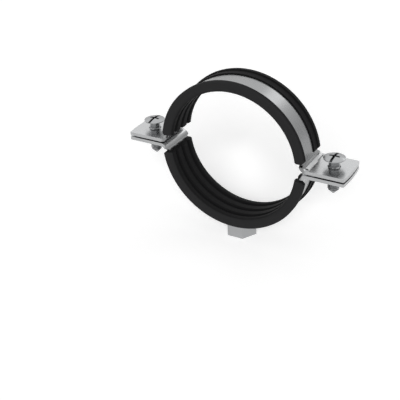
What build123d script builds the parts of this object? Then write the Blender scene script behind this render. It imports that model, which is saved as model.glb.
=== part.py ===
from build123d import *
from math import cos, pi, radians, sin, sqrt, tan
import os

os.makedirs("parts", exist_ok=True)

# Two-piece pipe clamp with a rubber liner, for a pipe of about 60 mm.
# Millimetres. Y is the pipe's axis, X runs across the two ears and Z is up.
# The origin is the centre of the bore at mid-width; the connection nut is underneath.

# ---- bore and rubber liners
bore_radius = 29.7            # crest of the ribs
liner_thickness = 2.15        # from the crest of the ribs to the underside of the band
liner_width = 18.4
liner_side_wall = 1.45        # rubber in front of each edge of the band
bead_width = 2.3
bead_height = 1.1             # above the band's outer face
bead_rounding = 0.9
flap_thickness = 0.5          # thin flap from the rear bead over the band
flap_reach = 3.5
liner_fit = 0.05              # between the band and its channel in the rubber
liner_end_height = 4.2        # the liners stop this far from the parting plane
liner_end_chamfer = 1.5       # outer corner of each end
bore_edge_rounding = 1.7
groove_count = 3
groove_pitch = 5.0
groove_mouth = 2.4            # at the crest of the ribs
groove_floor = 1.2
groove_depth = 1.15

# ---- steel bands and their ears
sheet = 1.5
ear_gap = 0.7                 # between the two ears, as supplied
ear_inset = 0.2               # edge of an ear to the front of the liner
ear_length = 18.65            # from the ring's outer face to the middle of the ear's end
ear_bulge = 0.6
ear_rounding = 0.4
bend_radius = 2.0             # inside radius
waist_fit = 0.1               # edge of the narrow band to the liner's side wall
waist_radius = 1.2
shoulder_fit = 0.1            # end of the shoulder to the end of the liner

# ---- hook between the right-hand ears
tongue_lean = 21.5            # degrees from upright, the top outwards
tongue_top = 2.3              # above the parting plane
tongue_rail = 1.5             # sheet left at each side of the tongue
tongue_rounding = 0.5
slot_side_gap = 0.3
slot_inner_gap = 0.4
slot_outer_gap = 0.3

# ---- ear screws
screw_edge = 8.25             # from the middle of the ear's end
thread_radius = 2.5
tapped_fit = 0.08
hole_fit = 0.25
screw_stand_off = 3.75        # from the upper ear to the head, as supplied
neck_radius = 2.15
neck_length = 2.8
screw_length = 16.0           # under the head
point_length = 2.0
point_radius = 0.6
head_radius = 4.6
head_rim = 0.35
head_dome = 0.8
drive_slot_width = 1.1
drive_slot_depth = 0.8
cross_length = 4.6
cross_width = 1.1
cross_depth = 1.3

# ---- connection nut
nut_across_flats = 13.0
nut_length = 8.0              # below the lowest line of the band
nut_corner_chamfer = 1.0
nut_core_radius = 3.4
nut_lead_in = 0.6
nut_window_gap = 0.4          # from the nut to the edge of the cut in the liner's flaps

# ---- sizes that follow
band_inner = bore_radius + liner_thickness
band_outer = band_inner + sheet
ear_reach = band_outer + ear_length
ear_width = liner_width - 2 * ear_inset
screw_offset = ear_reach - screw_edge
ear_inside = ear_gap / 2
ear_outside = ear_inside + sheet
channel_half = liner_width / 2 - liner_side_wall
waist_half = channel_half - waist_fit
bead_top = band_outer + bead_height
bead_inside = liner_width / 2 - bead_width
waist_start = liner_end_height - shoulder_fit - waist_radius
lean = radians(tongue_lean)
tongue_half = ear_width / 2 - tongue_rail
arm_foot = sqrt(band_inner**2 - liner_end_height**2)
screw_hole = thread_radius + hole_fit
tapped_hole = thread_radius + tapped_fit
nut_half_corner = nut_across_flats / sqrt(3)


def arm_inner(height):
    """X of the leaning strip's inner face at a height."""
    return arm_foot + (height + liner_end_height) * tan(lean)


def arm_outer(height):
    """X of the leaning strip's outer face at a height."""
    return arm_inner(height) + sheet / cos(lean)


def nearest(points, x, z):
    """The corner of a profile that lies closest to a place."""
    return min(points, key=lambda v: (v.X - x) ** 2 + (v.Y - z) ** 2)


# Plan of the ears: slightly convex ends with rounded corners.
ear_corner = ear_reach - ear_bulge
with BuildSketch() as ear_plan:
    with BuildLine():
        Line((-ear_corner, -ear_width / 2), (ear_corner, -ear_width / 2))
        ThreePointArc((ear_corner, -ear_width / 2), (ear_reach, 0), (ear_corner, ear_width / 2))
        Line((ear_corner, ear_width / 2), (-ear_corner, ear_width / 2))
        ThreePointArc((-ear_corner, ear_width / 2), (-ear_reach, 0), (-ear_corner, -ear_width / 2))
    make_face()
    fillet(ear_plan.vertices(), ear_rounding)

# Side view of one cut-away beside the waist, with its rounded inner corner at the shoulder.
cut_depth = 2 * band_outer
with BuildSketch(Plane.YZ) as waist_cut:
    with Locations((waist_half + cut_depth / 2, waist_start + cut_depth / 2)):
        Rectangle(cut_depth, cut_depth)
    fillet(waist_cut.vertices().sort_by(Axis.X)[:2].sort_by(Axis.Y)[0], waist_radius)

# Section of the rubber profile, in the plane of the bore's axis.
with BuildSketch() as liner_section:
    body_depth = bead_top - bore_radius
    with Locations((bore_radius + body_depth / 2, 0)):
        Rectangle(body_depth, liner_width)
    fillet(liner_section.vertices().sort_by(Axis.X)[:2], bore_edge_rounding)
    fillet(liner_section.vertices().sort_by(Axis.X)[-2:], bead_rounding)
    channel_bottom = band_inner - liner_fit
    channel_top = band_outer + liner_fit
    with Locations(((channel_bottom + channel_top) / 2, 0)):
        Rectangle(channel_top - channel_bottom, 2 * channel_half, mode=Mode.SUBTRACT)
    with Locations((channel_top + bead_height / 2, -flap_reach / 2)):
        Rectangle(bead_height, 2 * bead_inside - flap_reach, mode=Mode.SUBTRACT)
    with Locations((channel_top + flap_thickness + bead_height / 2, 0)):
        Rectangle(bead_height, 2 * bead_inside, mode=Mode.SUBTRACT)
    with GridLocations(0, groove_pitch, 1, groove_count):
        Polygon(
            (bore_radius, -groove_mouth / 2),
            (bore_radius + groove_depth, -groove_floor / 2),
            (bore_radius + groove_depth, groove_floor / 2),
            (bore_radius, groove_mouth / 2),
            align=None,
            mode=Mode.SUBTRACT,
        )

# Pocket for the drive in the head of a screw, cut downwards from its face at the origin.
with BuildPart() as drive_cut:
    with Locations((0, 0, head_dome / 2 - drive_slot_depth / 2)):
        Box(drive_slot_width, 3 * head_radius, drive_slot_depth + head_dome)
    with BuildSketch():
        Rectangle(cross_length, cross_width)
        Rectangle(cross_width, cross_length)
    extrude(amount=-cross_depth, taper=12)
    with BuildSketch():
        Rectangle(cross_length, cross_width)
        Rectangle(cross_width, cross_length)
    extrude(amount=head_dome)

# ---- upper band: half ring, two ears, a slot in the root bend of the right-hand ear
with BuildPart() as upper_band:
    with BuildSketch(Plane.XZ) as upper_profile:
        Circle(band_outer)
        Circle(band_inner, mode=Mode.SUBTRACT)
        with Locations((0, ear_inside - band_outer)):
            Rectangle(2 * band_outer, 2 * band_outer, mode=Mode.SUBTRACT)
        for side in (-1, 1):
            inner_end = sqrt(band_inner**2 - ear_inside**2)
            with Locations((side * (inner_end + ear_reach + sheet) / 2, ear_inside + sheet / 2)):
                Rectangle(ear_reach + sheet - inner_end, sheet)
        corners = upper_profile.vertices()
        under = [nearest(corners, side * band_inner, ear_inside) for side in (-1, 1)]
        fillet(under, bend_radius + sheet)
        corners = upper_profile.vertices()
        root = [nearest(corners, side * band_outer, ear_outside) for side in (-1, 1)]
        fillet(root, bend_radius)
    extrude(amount=ear_width, both=True)
    extrude(ear_plan.sketch, amount=cut_depth, both=True, mode=Mode.INTERSECT)
    extrude(waist_cut.sketch, amount=cut_depth, both=True, mode=Mode.SUBTRACT)
    extrude(mirror(waist_cut.sketch, about=Plane.XZ, mode=Mode.PRIVATE), amount=cut_depth, both=True, mode=Mode.SUBTRACT)
    with Locations((-screw_offset, 0, ear_inside + sheet / 2), (screw_offset, 0, ear_inside + sheet / 2)):
        Cylinder(screw_hole, 2 * sheet, mode=Mode.SUBTRACT)
    slot_right = arm_outer(tongue_top) + slot_outer_gap
    with BuildSketch(Plane.XZ):
        with BuildLine():
            Polyline(
                (arm_inner(0) - slot_inner_gap, 0),
                (arm_inner(2 * sheet + bend_radius) - slot_inner_gap, 2 * sheet + bend_radius),
                (slot_right, 2 * sheet + bend_radius),
                (slot_right, 0),
                close=True,
            )
        make_face()
    extrude(amount=tongue_half + slot_side_gap, both=True, mode=Mode.SUBTRACT)
upper_band.part.label = "upper_band"
export_step(upper_band.part, "parts/upper_band.step")

# ---- lower band: the right-hand side leans out and ends in the tongue, between two rails
with BuildPart() as lower_band:
    with BuildSketch(Plane.XZ) as lower_profile:
        Circle(band_outer)
        Circle(band_inner, mode=Mode.SUBTRACT)
        with Locations((0, band_outer - ear_inside)):
            Rectangle(2 * band_outer, 2 * band_outer, mode=Mode.SUBTRACT)
        with Locations((band_outer, band_outer - liner_end_height)):
            Rectangle(2 * (band_outer - bore_radius / 2), 2 * band_outer, mode=Mode.SUBTRACT)
        left_end = sqrt(band_inner**2 - ear_inside**2)
        with Locations((-(left_end + ear_reach + sheet) / 2, -ear_inside - sheet / 2)):
            Rectangle(ear_reach + sheet - left_end, sheet)
        with BuildLine():
            Polyline(
                (arm_foot, -liner_end_height),
                (arm_inner(-ear_inside), -ear_inside),
                (ear_reach + sheet, -ear_inside),
                (ear_reach + sheet, -ear_outside),
                (arm_outer(-ear_outside), -ear_outside),
                (arm_foot + sheet * cos(lean), -liner_end_height - sheet * sin(lean)),
                close=True,
            )
        make_face()
        corners = lower_profile.vertices()
        over = [nearest(corners, -band_inner, -ear_inside), nearest(corners, arm_inner(-ear_inside), -ear_inside)]
        fillet(over, bend_radius + sheet)
        corners = lower_profile.vertices()
        root = [nearest(corners, -band_outer, -ear_outside), nearest(corners, arm_outer(-ear_outside), -ear_outside)]
        fillet(root, bend_radius)
    extrude(amount=ear_width, both=True)
    extrude(ear_plan.sketch, amount=cut_depth, both=True, mode=Mode.INTERSECT)
    lower_waist = mirror(waist_cut.sketch, about=Plane.XY, mode=Mode.PRIVATE)
    extrude(lower_waist, amount=cut_depth, both=True, mode=Mode.SUBTRACT)
    extrude(mirror(lower_waist, about=Plane.XZ, mode=Mode.PRIVATE), amount=cut_depth, both=True, mode=Mode.SUBTRACT)
    with Locations((-screw_offset, 0, -ear_inside - sheet / 2), (screw_offset, 0, -ear_inside - sheet / 2)):
        Cylinder(tapped_hole, 2 * sheet, mode=Mode.SUBTRACT)
    # The tongue is cut out of the ear, so the window is as long as the strip it freed.
    bend_turn = pi / 2 - lean
    bend_setback = (bend_radius + sheet) * tan(bend_turn / 2)
    bend_start = -ear_inside - bend_setback * cos(lean)
    bend_length = (bend_radius + sheet / 2) * bend_turn
    window_end = arm_inner(-ear_inside) + bend_setback + (tongue_top - bend_start) / cos(lean) - bend_length
    window_height = 2 * ear_outside + 2 * bend_radius
    with Locations((window_end - window_height, 0, bend_start + window_height / 2)):
        Box(2 * window_height, 2 * tongue_half, window_height, mode=Mode.SUBTRACT)
    with BuildSketch(Plane.XZ):
        with BuildLine():
            Polyline(
                (arm_foot, -liner_end_height),
                (arm_inner(tongue_top), tongue_top),
                (arm_outer(tongue_top), tongue_top),
                (arm_foot + sheet * cos(lean), -liner_end_height - sheet * sin(lean)),
                close=True,
            )
        make_face()
    extrude(amount=tongue_half, both=True)
lower_band.part.label = "lower_band"
export_step(lower_band.part, "parts/lower_band.step")

# ---- liners: the profile turned about the bore's axis, with square chamfered ends
with BuildPart() as upper_liner:
    add(liner_section.sketch)
    revolve(axis=Axis.Y, revolution_arc=360)
    with BuildSketch(Plane.XZ):
        with BuildLine():
            Polyline(
                (-2 * bead_top, -2 * bead_top),
                (-2 * bead_top, liner_end_height + liner_end_chamfer + bead_top),
                (liner_end_chamfer - bead_top, liner_end_height),
                (bead_top - liner_end_chamfer, liner_end_height),
                (2 * bead_top, liner_end_height + liner_end_chamfer + bead_top),
                (2 * bead_top, -2 * bead_top),
                close=True,
            )
        make_face()
    extrude(amount=liner_width, both=True, mode=Mode.SUBTRACT)
upper_liner.part.label = "upper_liner"
export_step(upper_liner.part, "parts/upper_liner.step")

with BuildPart() as lower_liner:
    add(mirror(upper_liner.part, about=Plane.XY, mode=Mode.PRIVATE))
    window_half = nut_half_corner + nut_window_gap
    window_top = sqrt(band_outer**2 - window_half**2)
    with Locations((0, 0, -(window_top + bead_top + 1) / 2)):
        Box(2 * window_half, nut_across_flats + 2 * nut_window_gap, bead_top + 1 - window_top, mode=Mode.SUBTRACT)
lower_liner.part.label = "lower_liner"
export_step(lower_liner.part, "parts/lower_liner.step")

# ---- connection nut: stands on the lowest part of the band, its face hollowed to fit
with BuildPart() as connection_nut:
    nut_face = -band_outer - nut_length
    corner_radius = nut_half_corner
    with BuildSketch(Plane.XY.offset(nut_face)):
        RegularPolygon(nut_across_flats / 2, 6, major_radius=False)
    extrude(amount=nut_length + sheet)
    with BuildSketch(Plane.XZ):
        with BuildLine():
            Polyline(
                (0, nut_face),
                (corner_radius - nut_corner_chamfer, nut_face),
                (corner_radius, nut_face + nut_corner_chamfer * tan(radians(30))),
                (corner_radius + 1, nut_face + nut_corner_chamfer * tan(radians(30))),
                (corner_radius + 1, -band_inner),
                (0, -band_inner),
                close=True,
            )
        make_face()
    revolve(axis=Axis.Z, mode=Mode.INTERSECT)
    with Locations((0, 0, 0)):
        Cylinder(band_outer, liner_width, rotation=(90, 0, 0), mode=Mode.SUBTRACT)
    with BuildSketch(Plane.XZ):
        with BuildLine():
            Polyline(
                (0, nut_face),
                (nut_core_radius + nut_lead_in, nut_face),
                (nut_core_radius, nut_face + nut_lead_in),
                (nut_core_radius, -band_outer - nut_lead_in),
                (nut_core_radius + nut_lead_in + sheet / 2, -band_outer + sheet / 2),
                (0, -band_outer + sheet / 2),
                close=True,
            )
        make_face()
    revolve(axis=Axis.Z, mode=Mode.SUBTRACT)
connection_nut.part.label = "connection_nut"
export_step(connection_nut.part, "parts/connection_nut.step")

# ---- ear screws: plain neck, threaded shank, pointed end, slotted and crossed head
head_under = ear_outside + screw_stand_off
thread_top = head_under - neck_length
shank_end = head_under - screw_length
head_face = head_under + head_rim + head_dome
with BuildPart() as right_screw:
    with BuildSketch(Plane(origin=(screw_offset, 0, 0), x_dir=(1, 0, 0), z_dir=(0, -1, 0))):
        with BuildLine():
            Polyline(
                (0, head_face),
                (0, shank_end),
                (point_radius, shank_end),
                (thread_radius, shank_end + point_length),
                (thread_radius, thread_top),
                (neck_radius, thread_top + thread_radius - neck_radius),
                (neck_radius, head_under),
                (head_radius, head_under),
                (head_radius, head_under + head_rim),
            )
            dome_radius = (head_radius**2 + head_dome**2) / (2 * head_dome)
            dome_middle = head_face - dome_radius + sqrt(dome_radius**2 - head_radius**2 / 4)
            ThreePointArc((head_radius, head_under + head_rim), (head_radius / 2, dome_middle), (0, head_face))
        make_face()
    revolve(axis=Axis((screw_offset, 0, 0), (0, 0, 1)))
    with Locations((screw_offset, 0, head_face)):
        add(drive_cut.part, mode=Mode.SUBTRACT)
right_screw.part.label = "right_screw"
export_step(right_screw.part, "parts/right_screw.step")

with BuildPart() as left_screw:
    with Locations((-2 * screw_offset, 0, 0)):
        add(right_screw.part)
left_screw.part.label = "left_screw"
export_step(left_screw.part, "parts/left_screw.step")
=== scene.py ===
from math import cos, pi, radians, sin, sqrt

import bmesh
import bpy
from mathutils import Matrix, Vector


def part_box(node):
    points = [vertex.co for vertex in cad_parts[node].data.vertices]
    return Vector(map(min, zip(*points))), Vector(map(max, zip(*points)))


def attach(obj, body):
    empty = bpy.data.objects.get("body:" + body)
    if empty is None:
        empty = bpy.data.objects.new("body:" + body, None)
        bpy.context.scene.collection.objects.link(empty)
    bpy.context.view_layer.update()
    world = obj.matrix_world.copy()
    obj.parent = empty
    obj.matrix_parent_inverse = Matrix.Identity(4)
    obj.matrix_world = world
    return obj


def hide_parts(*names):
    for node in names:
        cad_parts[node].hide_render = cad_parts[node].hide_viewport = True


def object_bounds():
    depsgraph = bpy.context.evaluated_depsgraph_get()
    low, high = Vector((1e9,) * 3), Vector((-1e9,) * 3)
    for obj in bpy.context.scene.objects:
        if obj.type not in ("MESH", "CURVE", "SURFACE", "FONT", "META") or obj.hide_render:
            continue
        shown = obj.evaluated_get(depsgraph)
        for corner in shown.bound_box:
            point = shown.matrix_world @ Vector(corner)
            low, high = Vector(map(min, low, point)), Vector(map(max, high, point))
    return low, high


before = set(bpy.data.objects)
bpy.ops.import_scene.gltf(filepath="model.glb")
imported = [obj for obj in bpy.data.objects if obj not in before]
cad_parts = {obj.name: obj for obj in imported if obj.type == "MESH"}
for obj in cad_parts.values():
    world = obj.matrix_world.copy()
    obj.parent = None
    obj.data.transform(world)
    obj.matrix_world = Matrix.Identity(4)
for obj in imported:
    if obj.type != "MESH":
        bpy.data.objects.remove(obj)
cad_low, cad_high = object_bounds()
MM = 0.001

# ---- Camera: looks down on the clamp from the front right, with a slight tilt.
# A long lens from about a third of a metre keeps the ring nearly a true ellipse.
view_azimuth = radians(28.48)
view_height = radians(26.84)
view_roll = radians(-1.34)
view_distance = 338.45 * MM
image_width = 400
focal_pixels = 778.8
bore_centre_pixel = (239.92, 149.52)

camera_data = bpy.data.cameras.new("camera")
camera = bpy.data.objects.new("camera", camera_data)
bpy.context.scene.collection.objects.link(camera)
looking = Vector((
    -sin(view_azimuth) * cos(view_height),
    cos(view_azimuth) * cos(view_height),
    -sin(view_height),
))
level_right = Vector((cos(view_azimuth), sin(view_azimuth), 0))
level_up = level_right.cross(looking)
right = level_right * cos(view_roll) + level_up * sin(view_roll)
up = level_up * cos(view_roll) - level_right * sin(view_roll)
turned = Matrix((right, up, -looking)).transposed().to_4x4()
camera.matrix_world = Matrix.Translation(-looking * view_distance) @ turned
camera_data.lens = camera_data.sensor_width * focal_pixels / image_width
camera_data.shift_x = (image_width / 2 - bore_centre_pixel[0]) / image_width
camera_data.shift_y = (bore_centre_pixel[1] - image_width / 2) / image_width
camera_data.clip_start = 0.01
camera_data.clip_end = 20
bpy.context.scene.camera = camera
bpy.context.scene.view_settings.view_transform = "Standard"


# ---- Lower band: 1.5 mm steel strip, rolled to a half ring with both ears bent out and
# a tongue cut free at the right-hand ear. Bright zinc plating over rolled sheet.
def new_group(name, inputs, outputs):
    """An empty shader node group with the named (name, kind, value) inputs and (name, kind) outputs."""
    group = bpy.data.node_groups.new(name, "ShaderNodeTree")
    for label, kind, value in inputs:
        socket = group.interface.new_socket(label, in_out="INPUT", socket_type=kind)
        socket.default_value = value
    for label, kind in outputs:
        group.interface.new_socket(label, in_out="OUTPUT", socket_type=kind)
    return group, group.nodes.new("NodeGroupInput"), group.nodes.new("NodeGroupOutput")


def plating_group():
    """Zinc plating: cloudy colour, streaked roughness and a fine uneven surface."""
    group, given, out = new_group(
        "zinc plating",
        [("Colour", "NodeSocketColor", (0.6, 0.6, 0.6, 1)), ("Clouds", "NodeSocketFloat", 0.1),
         ("Roughness", "NodeSocketFloat", 0.3), ("Streaks", "NodeSocketFloat", 0.1),
         ("Stretch", "NodeSocketVector", (1, 1, 1)), ("Dimples", "NodeSocketFloat", 0.1)],
        [("Colour", "NodeSocketColor"), ("Roughness", "NodeSocketFloat"), ("Normal", "NodeSocketVector")],
    )
    nodes, links = group.nodes, group.links
    place = nodes.new("ShaderNodeTexCoord")
    stretched = nodes.new("ShaderNodeVectorMath")
    stretched.operation = "MULTIPLY"
    links.new(place.outputs["Object"], stretched.inputs[0])
    links.new(given.outputs["Stretch"], stretched.inputs[1])

    def noise(source, scale, detail):
        """Noise over the vector that the source node puts out."""
        node = nodes.new("ShaderNodeTexNoise")
        node.inputs["Scale"].default_value = scale
        node.inputs["Detail"].default_value = detail
        links.new(source, node.inputs["Vector"])
        return node

    streak = noise(stretched.outputs[0], scale=420, detail=4)
    cloud = noise(place.outputs["Object"], scale=110, detail=3)
    grain = noise(place.outputs["Object"], scale=1600, detail=2)

    def about_zero(source, amount, label):
        """The source noise less 0.5, times an input of the group."""
        centred = nodes.new("ShaderNodeMath")
        centred.operation = "SUBTRACT"
        centred.inputs[1].default_value = 0.5
        links.new(source.outputs[0], centred.inputs[0])
        scaled = nodes.new("ShaderNodeMath")
        scaled.operation = "MULTIPLY"
        scaled.label = label
        links.new(centred.outputs[0], scaled.inputs[0])
        links.new(given.outputs[amount], scaled.inputs[1])
        return scaled

    clouded = about_zero(cloud, "Clouds", "colour clouds")
    brighter = nodes.new("ShaderNodeMath")
    brighter.operation = "ADD"
    brighter.inputs[1].default_value = 1
    links.new(clouded.outputs[0], brighter.inputs[0])
    tint = nodes.new("ShaderNodeVectorMath")
    tint.operation = "SCALE"
    links.new(given.outputs["Colour"], tint.inputs[0])
    links.new(brighter.outputs[0], tint.inputs["Scale"])
    links.new(tint.outputs[0], out.inputs["Colour"])

    streaked = about_zero(streak, "Streaks", "roughness streaks")
    rougher = nodes.new("ShaderNodeMath")
    rougher.operation = "ADD"
    rougher.use_clamp = True
    links.new(streaked.outputs[0], rougher.inputs[0])
    links.new(given.outputs["Roughness"], rougher.inputs[1])
    links.new(rougher.outputs[0], out.inputs["Roughness"])

    both = nodes.new("ShaderNodeMath")
    both.operation = "ADD"
    links.new(streak.outputs[0], both.inputs[0])
    links.new(grain.outputs[0], both.inputs[1])
    bump = nodes.new("ShaderNodeBump")
    bump.inputs["Distance"].default_value = 0.02 * MM
    links.new(both.outputs[0], bump.inputs["Height"])
    links.new(given.outputs["Dimples"], bump.inputs["Strength"])
    links.new(bump.outputs[0], out.inputs["Normal"])
    return group


zinc_plating = plating_group()


def zinc_steel(name, colour, roughness, stretch, clouds=0.1, streaks=0.08, dimples=0.04):
    """Bright zinc-plated steel, its streaks drawn out along the axes where stretch is small."""
    material = bpy.data.materials.new(name)
    material.use_nodes = True
    nodes, links = material.node_tree.nodes, material.node_tree.links
    shader = nodes["Principled BSDF"]
    shader.inputs["Metallic"].default_value = 1
    plating = nodes.new("ShaderNodeGroup")
    plating.node_tree = zinc_plating
    plating.inputs["Colour"].default_value = (*colour, 1)
    plating.inputs["Clouds"].default_value = clouds
    plating.inputs["Roughness"].default_value = roughness
    plating.inputs["Streaks"].default_value = streaks
    plating.inputs["Stretch"].default_value = stretch
    plating.inputs["Dimples"].default_value = dimples
    links.new(plating.outputs["Colour"], shader.inputs["Base Color"])
    links.new(plating.outputs["Roughness"], shader.inputs["Roughness"])
    links.new(plating.outputs["Normal"], shader.inputs["Normal"])
    return material


crease_angle = radians(35)


def crease(shape):
    """Shades a shape smooth, with sharp edges where two faces meet at more than the crease angle."""
    shape.normal_update()
    for face in shape.faces:
        face.smooth = True
    for edge in shape.edges:
        edge.smooth = len(edge.link_faces) == 2 and edge.calc_face_angle(0) < crease_angle


def drop_old_normals(mesh):
    """Removes the shading normals that the mesh still has from the CAD node's loose triangles."""
    if "custom_normal" in mesh.attributes:
        mesh.attributes.remove(mesh.attributes["custom_normal"])


seam_width = 0.002 * MM
flat_angle = radians(0.5)


def finished_copy(node, name, edge_radius, material):
    """The CAD node's own shape with its seams merged, its edges broken and a finish."""
    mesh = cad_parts[node].data.copy()
    mesh.name = name
    mesh.materials.clear()
    mesh.materials.append(material)
    shape = bmesh.new()
    shape.from_mesh(mesh)
    bmesh.ops.remove_doubles(shape, verts=shape.verts, dist=seam_width)
    bmesh.ops.dissolve_limit(shape, angle_limit=flat_angle, verts=shape.verts, edges=shape.edges)
    for face in shape.faces:
        face.material_index = 0
    crease(shape)
    shape.to_mesh(mesh)
    shape.free()
    drop_old_normals(mesh)
    piece = bpy.data.objects.new(name, mesh)
    bpy.context.scene.collection.objects.link(piece)
    rounding = piece.modifiers.new("broken edges", "BEVEL")
    rounding.width = edge_radius
    rounding.segments = 3
    rounding.limit_method = "ANGLE"
    rounding.angle_limit = crease_angle
    rounding.harden_normals = True
    return piece


def object_place(material):
    """A node that gives the object's coordinates, and one that splits them into X, Y and Z."""
    nodes = material.node_tree.nodes
    place = nodes.new("ShaderNodeTexCoord")
    parts = nodes.new("ShaderNodeSeparateXYZ")
    material.node_tree.links.new(place.outputs["Object"], parts.inputs[0])
    return place, parts


def without_sign(material, coordinate):
    """A node that gives the coordinate without its sign, the same on both sides of the middle."""
    unsigned = material.node_tree.nodes.new("ShaderNodeMath")
    unsigned.operation = "ABSOLUTE"
    material.node_tree.links.new(coordinate, unsigned.inputs[0])
    return unsigned


def sheet_steel(name, ear_start, blend, painted_ring_shade):
    """Plated sheet; its rolled ring, within ear_start of the bore's axis, is painted darker than its ears
    as painted shade.
    """
    material = zinc_steel(
        name, (0.43, 0.435, 0.44), roughness=0.27,
        stretch=(0.25, 1.6, 0.25), clouds=0.08, streaks=0.05, dimples=0.012)
    nodes, links = material.node_tree.nodes, material.node_tree.links
    across = without_sign(material, object_place(material)[1].outputs["X"])
    # Painted shade: the ring's colour is scaled down here, and the ears keep the full colour.
    on_ear = nodes.new("ShaderNodeMapRange")
    on_ear.interpolation_type = "SMOOTHSTEP"
    on_ear.inputs["From Min"].default_value = ear_start - blend
    on_ear.inputs["From Max"].default_value = ear_start + blend
    on_ear.inputs["To Min"].default_value = painted_ring_shade
    on_ear.inputs["To Max"].default_value = 1
    links.new(across.outputs[0], on_ear.inputs["Value"])
    plating = next(node for node in nodes if node.type == "GROUP")
    shade = nodes.new("ShaderNodeVectorMath")
    shade.operation = "SCALE"
    links.new(plating.outputs["Colour"], shade.inputs[0])
    links.new(on_ear.outputs[0], shade.inputs["Scale"])
    links.new(shade.outputs[0], nodes["Principled BSDF"].inputs["Base Color"])
    return material


level_tolerance = 0.1 * MM


def paint_highlight_on_cut(material, cut_height, cut_start, colour, roughness):
    """The tongue's sheared top, level at cut_height and past cut_start, gets a lighter colour as a painted
    highlight, and a rougher surface.
    """
    nodes, links = material.node_tree.nodes, material.node_tree.links
    shader = nodes["Principled BSDF"]
    parts = object_place(material)[1]
    level = nodes.new("ShaderNodeMath")
    level.operation = "COMPARE"
    level.inputs[1].default_value = cut_height
    level.inputs[2].default_value = level_tolerance
    links.new(parts.outputs["Z"], level.inputs[0])
    outside = nodes.new("ShaderNodeMath")
    outside.operation = "GREATER_THAN"
    outside.inputs[1].default_value = cut_start
    links.new(parts.outputs["X"], outside.inputs[0])
    on_cut = nodes.new("ShaderNodeMath")
    on_cut.operation = "MULTIPLY"
    links.new(level.outputs[0], on_cut.inputs[0])
    links.new(outside.outputs[0], on_cut.inputs[1])
    # Painted highlight: the tongue's top is mixed toward a lighter colour.
    painted_highlight_mix = nodes.new("ShaderNodeMix")
    painted_highlight_mix.data_type = "RGBA"
    painted_highlight_mix.inputs["B"].default_value = (*colour, 1)
    links.new(on_cut.outputs[0], painted_highlight_mix.inputs["Factor"])
    links.new(shader.inputs["Base Color"].links[0].from_socket, painted_highlight_mix.inputs["A"])
    links.new(painted_highlight_mix.outputs["Result"], shader.inputs["Base Color"])
    rougher = nodes.new("ShaderNodeMix")
    rougher.data_type = "FLOAT"
    rougher.inputs["B"].default_value = roughness
    links.new(on_cut.outputs[0], rougher.inputs["Factor"])
    links.new(shader.inputs["Roughness"].links[0].from_socket, rougher.inputs["A"])
    links.new(rougher.outputs["Result"], shader.inputs["Roughness"])


sheet_edge = 0.16 * MM
# The lower band's ring is painted darker than its ears as painted shade.
lower_steel = sheet_steel("zinc_lower_sheet", ear_start=33.0 * MM, blend=0.4 * MM, painted_ring_shade=0.56)
# The tongue's top is painted lighter as a painted highlight.
paint_highlight_on_cut(
    lower_steel, cut_height=2.3 * MM, cut_start=34 * MM, colour=(0.66, 0.665, 0.67), roughness=0.6)
lower_band = finished_copy("lower_band", "lower_band_sheet", sheet_edge, lower_steel)
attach(lower_band, "lower_half")
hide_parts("lower_band")


# ---- Lower liner: black rubber profile, extruded with three grooves in its bore and two
# lips that wrap the band's edges. Cut to length, and trimmed round the nut.
def rubber_surface(name, painted_shade_bore_colour, side_colour, side_start, side_blend, roughness):
    """Matt black extruded rubber with a faint skin grain; the bore, within side_start of the middle plane,
    is painted darker than the sides as painted shade.
    """
    material = bpy.data.materials.new(name)
    material.use_nodes = True
    nodes, links = material.node_tree.nodes, material.node_tree.links
    shader = nodes["Principled BSDF"]
    shader.inputs["Specular IOR Level"].default_value = 0.08
    place, parts = object_place(material)
    sideways = without_sign(material, parts.outputs["Y"])
    on_side = nodes.new("ShaderNodeMapRange")
    on_side.interpolation_type = "SMOOTHSTEP"
    on_side.inputs["From Min"].default_value = side_start - side_blend
    on_side.inputs["From Max"].default_value = side_start + side_blend
    links.new(sideways.outputs[0], on_side.inputs["Value"])
    # Painted shade: the bore gets the darker colour, and the sides the lighter one.
    black = nodes.new("ShaderNodeMix")
    black.data_type = "RGBA"
    black.inputs["A"].default_value = (*painted_shade_bore_colour, 1)
    black.inputs["B"].default_value = (*side_colour, 1)
    links.new(on_side.outputs[0], black.inputs["Factor"])
    links.new(black.outputs["Result"], shader.inputs["Base Color"])
    skin = nodes.new("ShaderNodeTexNoise")
    skin.inputs["Scale"].default_value = 900
    skin.inputs["Detail"].default_value = 4
    links.new(place.outputs["Object"], skin.inputs["Vector"])
    uneven = 0.08
    sheen = nodes.new("ShaderNodeMapRange")
    sheen.inputs["To Min"].default_value = roughness - uneven
    sheen.inputs["To Max"].default_value = roughness + uneven
    links.new(skin.outputs[0], sheen.inputs["Value"])
    links.new(sheen.outputs[0], shader.inputs["Roughness"])
    bump = nodes.new("ShaderNodeBump")
    bump.inputs["Strength"].default_value = 0.25
    bump.inputs["Distance"].default_value = 0.03 * MM
    links.new(skin.outputs[0], bump.inputs["Height"])
    links.new(bump.outputs[0], shader.inputs["Normal"])
    return material


rubber_edge = 0.18 * MM
# The bore is painted darker than the sides as painted shade.
black_rubber = rubber_surface(
    "black_rubber_finish", painted_shade_bore_colour=(0.006, 0.006, 0.0063), side_colour=(0.015, 0.015, 0.0155),
    side_start=8.4 * MM, side_blend=0.4 * MM, roughness=0.68)
lower_liner = finished_copy("lower_liner", "lower_liner_rubber", rubber_edge, black_rubber)
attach(lower_liner, "lower_half")
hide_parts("lower_liner")


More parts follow.
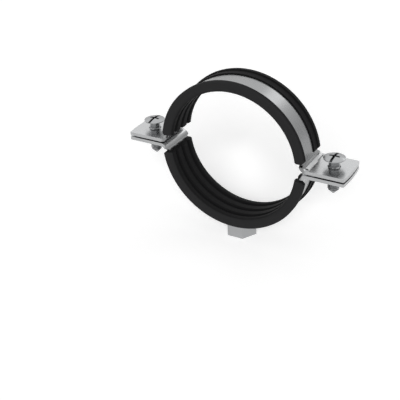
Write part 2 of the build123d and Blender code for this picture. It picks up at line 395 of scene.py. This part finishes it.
# ---- Connection nut: hexagon bar cut to length with a plain sawn end, welded under the
# lower band. Its M8 thread is tapped right through, for the bolt that carries the clamp.
def thread_tree(material):
    """Geometry nodes: a round bar with a point at its foot and a helical thread in its side."""
    tree = bpy.data.node_groups.new("rolled thread", "GeometryNodeTree")
    lengths = ("Axis X", "Top", "Length", "Radius", "Pitch", "Depth", "Point length", "Point radius")
    for label in lengths:
        tree.interface.new_socket(label, in_out="INPUT", socket_type="NodeSocketFloat")
    for label in ("Sides", "Rings"):
        tree.interface.new_socket(label, in_out="INPUT", socket_type="NodeSocketInt")
    tree.interface.new_socket("Geometry", in_out="OUTPUT", socket_type="NodeSocketGeometry")
    nodes, links = tree.nodes, tree.links
    given = nodes.new("NodeGroupInput").outputs

    def math(operation, first, second=None, clamp=False):
        node = nodes.new("ShaderNodeMath")
        node.operation = operation
        node.use_clamp = clamp
        for socket, value in zip(node.inputs, (first, second)):
            if isinstance(value, (int, float)):
                socket.default_value = value
            elif value is not None:
                links.new(value, socket)
        return node.outputs[0]

    bar = nodes.new("GeometryNodeMeshCylinder")
    bar_inputs = {"Vertices": "Sides", "Side Segments": "Rings", "Radius": "Radius", "Depth": "Length"}
    for socket, label in bar_inputs.items():
        links.new(given[label], bar.inputs[socket])
    place = nodes.new("GeometryNodeInputPosition")
    parts = nodes.new("ShaderNodeSeparateXYZ")
    links.new(place.outputs[0], parts.inputs[0])
    above_foot = math("ADD", parts.outputs["Z"], math("MULTIPLY", given["Length"], 0.5))
    angle = math("ARCTAN2", parts.outputs["Y"], parts.outputs["X"])
    turns = math("SUBTRACT", math("DIVIDE", above_foot, given["Pitch"]), math("DIVIDE", angle, 2 * pi))
    from_root = math("ABSOLUTE", math("SUBTRACT", math("MULTIPLY", math("FRACT", turns), 2), 1))
    crest_share = 0.15
    flank_share = 0.7
    flank = math("MULTIPLY", math("SUBTRACT", from_root, crest_share), 1 / flank_share, clamp=True)
    run_out = math("DIVIDE", math("SUBTRACT", given["Length"], above_foot), given["Pitch"], clamp=True)
    run_in = math("DIVIDE", above_foot, given["Point length"], clamp=True)
    cut = math("MULTIPLY", math("MULTIPLY", flank, given["Depth"]), math("MULTIPLY", run_out, run_in))
    taper = math("MULTIPLY", run_in, math("SUBTRACT", given["Radius"], given["Point radius"]))
    radius = math("SUBTRACT", math("ADD", taper, given["Point radius"]), cut)
    across = math("ADD", given["Axis X"], math("MULTIPLY", radius, math("COSINE", angle)))
    along = math("MULTIPLY", radius, math("SINE", angle))
    height = math("ADD", math("SUBTRACT", given["Top"], given["Length"]), above_foot)
    moved = nodes.new("ShaderNodeCombineXYZ")
    for socket, value in zip(moved.inputs, (across, along, height)):
        links.new(value, socket)
    shaped = nodes.new("GeometryNodeSetPosition")
    links.new(bar.outputs["Mesh"], shaped.inputs["Geometry"])
    links.new(moved.outputs[0], shaped.inputs["Position"])
    real = nodes.new("GeometryNodeRealizeInstances")
    links.new(shaped.outputs[0], real.inputs[0])
    plated = nodes.new("GeometryNodeSetMaterial")
    plated.inputs["Material"].default_value = material
    links.new(real.outputs[0], plated.inputs["Geometry"])
    out = nodes.new("NodeGroupOutput")
    links.new(plated.outputs[0], out.inputs[0])
    return tree


def threaded_bar(name, tree, sizes):
    """The tree's bar as a plain mesh. sizes gives each of the tree's inputs by name."""
    holder = bpy.data.objects.new(name, bpy.data.meshes.new(name))
    bpy.context.scene.collection.objects.link(holder)
    rolled = holder.modifiers.new("rolled thread", "NODES")
    rolled.node_group = tree
    for socket in tree.interface.items_tree:
        if socket.in_out == "INPUT":
            rolled[socket.identifier] = sizes[socket.name]
    seen = holder.evaluated_get(bpy.context.evaluated_depsgraph_get())
    mesh = bpy.data.meshes.new_from_object(seen)
    bpy.data.objects.remove(holder)
    for face in mesh.polygons:
        face.material_index = 0
    return mesh


def plain_mesh(piece):
    """The piece's mesh with its modifiers applied."""
    seen = piece.evaluated_get(bpy.context.evaluated_depsgraph_get())
    return bpy.data.meshes.new_from_object(seen)


nut_steel = zinc_steel("zinc_nut_finish", (0.40, 0.405, 0.41), roughness=0.3, stretch=(1, 1, 1))
nut_edge = 0.15 * MM
connection_nut = finished_copy("connection_nut", "connection_nut_body", nut_edge, nut_steel)

# The last of the bar is drawn down square, past where the solid model is chamfered.
nut_low, nut_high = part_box("connection_nut")
chamfer_room = 0.8 * MM
shape = bmesh.new()
shape.from_mesh(connection_nut.data)
bmesh.ops.bisect_plane(
    shape, geom=shape.verts[:] + shape.edges[:] + shape.faces[:],
    plane_co=(0, 0, nut_low[2] + chamfer_room), plane_no=(0, 0, -1), clear_outer=True)
open_edges = [edge for edge in shape.edges if edge.is_boundary]
for vert in {vert for edge in open_edges for vert in edge.verts}:
    vert.co.z = nut_low[2]
bmesh.ops.triangle_fill(
    shape, use_beauty=True, use_dissolve=False, edges=open_edges, normal=(0, 0, -1))
bmesh.ops.recalc_face_normals(shape, faces=shape.faces)
crease(shape)
shape.to_mesh(connection_nut.data)
shape.free()
connection_nut.data = plain_mesh(connection_nut)
connection_nut.modifiers.clear()

# The tap is a threaded bar that is taken away from the nut.
tap_over_run = 1 * MM
tap_length = nut_high[2] - nut_low[2] + 2 * tap_over_run
tap_mesh = threaded_bar("tap", thread_tree(nut_steel), {
    "Axis X": 0, "Top": nut_high[2] + tap_over_run, "Length": tap_length, "Radius": 3.98 * MM,
    "Pitch": 1.25 * MM, "Depth": 0.64 * MM, "Point length": 0.1 * MM, "Point radius": 3.9 * MM,
    "Sides": 48, "Rings": 90,
})
tap = bpy.data.objects.new("tap", tap_mesh)
bpy.context.scene.collection.objects.link(tap)
tapped = connection_nut.modifiers.new("tapped", "BOOLEAN")
tapped.object = tap
tapped.operation = "DIFFERENCE"
tapped.solver = "EXACT"
connection_nut.data = plain_mesh(connection_nut)
connection_nut.modifiers.clear()
bpy.data.objects.remove(tap)
shape = bmesh.new()
shape.from_mesh(connection_nut.data)
crease(shape)
shape.to_mesh(connection_nut.data)
shape.free()
drop_old_normals(connection_nut.data)
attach(connection_nut, "lower_half")
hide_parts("connection_nut")


# ---- Upper band: the matching half ring. Its left ear is plain, and the root of its
# right ear is pierced with the slot that the lower band's tongue comes up through.
# The upper band's ring is painted darker than its ears as painted shade.
upper_steel = sheet_steel("zinc_upper_sheet", ear_start=34.4 * MM, blend=0.9 * MM, painted_ring_shade=0.56)
upper_band = finished_copy("upper_band", "upper_band_sheet", sheet_edge, upper_steel)
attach(upper_band, "upper_half")
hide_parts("upper_band")


# ---- Upper liner: the same extruded rubber profile as below, cut to length and pressed
# over the edges of the upper band.
upper_liner = finished_copy("upper_liner", "upper_liner_rubber", rubber_edge, black_rubber)
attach(upper_liner, "upper_half")
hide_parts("upper_liner")


# ---- Ear screws: M5 steel screws with a low domed head, a plain neck and a pointed end,
# turned from the top with a flat or crossed driver. Their rolled thread climbs 0.8 mm a
# turn through the tapped holes of the lower ears.
screw_steel = zinc_steel(
    "zinc_screw_finish", (0.29, 0.295, 0.30), roughness=0.24, stretch=(1, 1, 1), clouds=0.15)
# Painted shade: a near-black plating for the inside of the drive recesses.
painted_recess_shade = zinc_steel(
    "painted_shade_in_recess", (0.035, 0.035, 0.037), roughness=0.5, stretch=(1, 1, 1))
screw_tree = thread_tree(screw_steel)
thread_top = 2.8 * MM
thread_radius = 2.5 * MM
neck_cut = thread_top + 0.45 * MM
neck_foot = thread_top - 0.2 * MM
head_height = 1.15 * MM
drive_half_width = 0.57 * MM
cross_reach = 2.35 * MM
slot_reach = 4.5 * MM
recess_radius = 2.05 * MM
recess_depth_in_neck = 0.8 * MM
cross_floor_radius = 2.1 * MM
cross_floor_depths = (0.05 * MM, 0.3 * MM)
cross_deepening = 0.4 * MM
rim_clearance = 0.1 * MM
dome_slopes = (0.9, 0.9995)
for side in ("left", "right"):
    cad_name = side + "_screw"
    screw_low, screw_high = (Vector(corner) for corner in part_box(cad_name))
    axis_x = (screw_low.x + screw_high.x) / 2
    bar_mesh = threaded_bar(side + "_thread", screw_tree, {
        "Axis X": axis_x, "Top": thread_top, "Length": thread_top - screw_low.z,
        "Radius": thread_radius, "Pitch": 0.8 * MM, "Depth": 0.42 * MM,
        "Point length": 2.0 * MM, "Point radius": 0.6 * MM, "Sides": 48, "Rings": 150,
    })
    shape = bmesh.new()
    shape.from_mesh(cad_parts[cad_name].data)
    bmesh.ops.remove_doubles(shape, verts=shape.verts, dist=seam_width)

    # The shank below the neck makes way for the threaded bar, which the neck reaches into.
    bmesh.ops.bisect_plane(
        shape, geom=shape.verts[:] + shape.edges[:] + shape.faces[:],
        plane_co=(0, 0, neck_cut), plane_no=(0, 0, 1), clear_inner=True)
    open_edges = [edge for edge in shape.edges if edge.is_boundary]
    neck_end = {vert for edge in open_edges for vert in edge.verts}
    bmesh.ops.holes_fill(shape, edges=open_edges)
    for vert in neck_end:
        vert.co.z = neck_foot

    # The cross is deepest at its middle. It and the slot are painted dark inside as painted shade.
    head_underside = screw_high.z - head_height
    for vert in shape.verts:
        from_axis = sqrt((vert.co.x - axis_x) ** 2 + vert.co.y ** 2)
        below = head_underside - vert.co.z
        if from_axis < cross_floor_radius and cross_floor_depths[0] < below < cross_floor_depths[1]:
            vert.co.z -= cross_deepening
    shape.normal_update()
    for face in shape.faces:
        middle = face.calc_center_median()
        aside, ahead = abs(middle.x - axis_x), abs(middle.y)
        from_axis = sqrt(aside ** 2 + ahead ** 2)
        in_cross = ahead < drive_half_width and from_axis < cross_reach
        in_slot = aside < drive_half_width and from_axis < slot_reach
        above_neck = middle.z > head_underside + rim_clearance
        in_neck = from_axis < recess_radius and middle.z > head_underside - recess_depth_in_neck
        on_dome = dome_slopes[0] < face.normal.z < dome_slopes[1]
        in_drive = (in_cross or in_slot) and (above_neck or in_neck) and not on_dome
        face.material_index = 1 if in_drive else 0

    shape.from_mesh(bar_mesh)
    crease(shape)
    mesh = bpy.data.meshes.new(side + "_screw_turned")
    mesh.materials.append(screw_steel)
    mesh.materials.append(painted_recess_shade)
    shape.to_mesh(mesh)
    shape.free()
    drop_old_normals(mesh)
    screw = bpy.data.objects.new(side + "_screw_turned", mesh)
    bpy.context.scene.collection.objects.link(screw)
    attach(screw, side + "_screw_body")
    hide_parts(cad_name)


# ---- Floor and light: a pale table that the nut stands on, one soft panel behind the clamp,
# and a broad light over the viewer's shoulder in a white room.
def table_surface(name, plain, shown):
    """White table that reads as white in view, keeps its shadows and is clear from below."""
    material = bpy.data.materials.new(name)
    material.use_nodes = True
    nodes, links = material.node_tree.nodes, material.node_tree.links
    nodes.clear()
    path = nodes.new("ShaderNodeLightPath")
    seen = nodes.new("ShaderNodeMath")
    seen.operation = "ADD"
    seen.use_clamp = True
    links.new(path.outputs["Is Camera Ray"], seen.inputs[0])
    links.new(path.outputs["Is Glossy Ray"], seen.inputs[1])
    strength = nodes.new("ShaderNodeMath")
    strength.operation = "MULTIPLY"
    strength.inputs[1].default_value = shown
    links.new(seen.outputs[0], strength.inputs[0])
    glow = nodes.new("ShaderNodeEmission")
    links.new(strength.outputs[0], glow.inputs["Strength"])
    matt = nodes.new("ShaderNodeBsdfDiffuse")
    matt.inputs["Color"].default_value = (plain, plain, plain, 1)
    total = nodes.new("ShaderNodeAddShader")
    links.new(matt.outputs[0], total.inputs[0])
    links.new(glow.outputs[0], total.inputs[1])
    facing = nodes.new("ShaderNodeNewGeometry")
    clear = nodes.new("ShaderNodeBsdfTransparent")
    one_sided = nodes.new("ShaderNodeMixShader")
    links.new(facing.outputs["Backfacing"], one_sided.inputs["Fac"])
    links.new(total.outputs[0], one_sided.inputs[1])
    links.new(clear.outputs[0], one_sided.inputs[2])
    out = nodes.new("ShaderNodeOutputMaterial")
    links.new(one_sided.outputs[0], out.inputs["Surface"])
    return material


table_reach = 3.0
table_mesh = bpy.data.meshes.new("table")
table_corners = [
    (x, y, cad_low[2]) for x, y in (
        (-table_reach, -table_reach), (table_reach, -table_reach),
        (table_reach, table_reach), (-table_reach, table_reach))
]
table_mesh.from_pydata(table_corners, [], [(0, 1, 2, 3)])
table_mesh.materials.append(table_surface("table_white", plain=0.85, shown=0.35))
table = bpy.data.objects.new("table", table_mesh)
bpy.context.scene.collection.objects.link(table)


def light_panel(name, place, size, power):
    """A soft square panel that faces the middle of the clamp."""
    data = bpy.data.lights.new(name, "AREA")
    data.shape = "SQUARE"
    data.size = size
    data.energy = power
    panel = bpy.data.objects.new(name, data)
    panel.location = place
    panel.rotation_euler = (-Vector(place)).to_track_quat("-Z", "Y").to_euler()
    bpy.context.scene.collection.objects.link(panel)


light_panel("rear_panel", place=(0.15, 0.66, 0.41), size=0.22, power=0.21)

# A broad light from behind the viewer. It shapes the shadow, and metal doesn't mirror it.
key_direction = Vector((0.38, -0.82, 0.43))
key_data = bpy.data.lights.new("key_light", "SUN")
key_data.energy = 2.9
key_data.angle = radians(30)
key_light = bpy.data.objects.new("key_light", key_data)
key_light.rotation_euler = (-key_direction).to_track_quat("-Z", "Y").to_euler()
key_light.visible_glossy = False
bpy.context.scene.collection.objects.link(key_light)

# The room is white in view. Metal mirrors it brighter overhead than at the floor.
room_light = 0.4
room_seen = 1
mirrored_heights = (-0.1, 0.75)
mirrored_levels = (0.75, 1.55)
world = bpy.data.worlds.new("studio")
bpy.context.scene.world = world
world.use_nodes = True
world_nodes, world_links = world.node_tree.nodes, world.node_tree.links
room = world_nodes["Background"]
room.inputs["Color"].default_value = (1, 1, 1, 1)
room_path = world_nodes.new("ShaderNodeLightPath")
direction = world_nodes.new("ShaderNodeTexCoord")
height = world_nodes.new("ShaderNodeSeparateXYZ")
world_links.new(direction.outputs["Generated"], height.inputs[0])
ceiling = world_nodes.new("ShaderNodeMapRange")
ceiling.interpolation_type = "SMOOTHSTEP"
ceiling.inputs["From Min"].default_value = mirrored_heights[0]
ceiling.inputs["From Max"].default_value = mirrored_heights[1]
ceiling.inputs["To Min"].default_value = mirrored_levels[0]
ceiling.inputs["To Max"].default_value = mirrored_levels[1]
world_links.new(height.outputs["Z"], ceiling.inputs["Value"])
mirrored = world_nodes.new("ShaderNodeMix")
mirrored.data_type = "FLOAT"
mirrored.inputs["A"].default_value = room_light
world_links.new(room_path.outputs["Is Glossy Ray"], mirrored.inputs["Factor"])
world_links.new(ceiling.outputs[0], mirrored.inputs["B"])
in_view = world_nodes.new("ShaderNodeMix")
in_view.data_type = "FLOAT"
in_view.inputs["B"].default_value = room_seen
world_links.new(room_path.outputs["Is Camera Ray"], in_view.inputs["Factor"])
world_links.new(mirrored.outputs[0], in_view.inputs["A"])
world_links.new(in_view.outputs[0], room.inputs["Strength"])
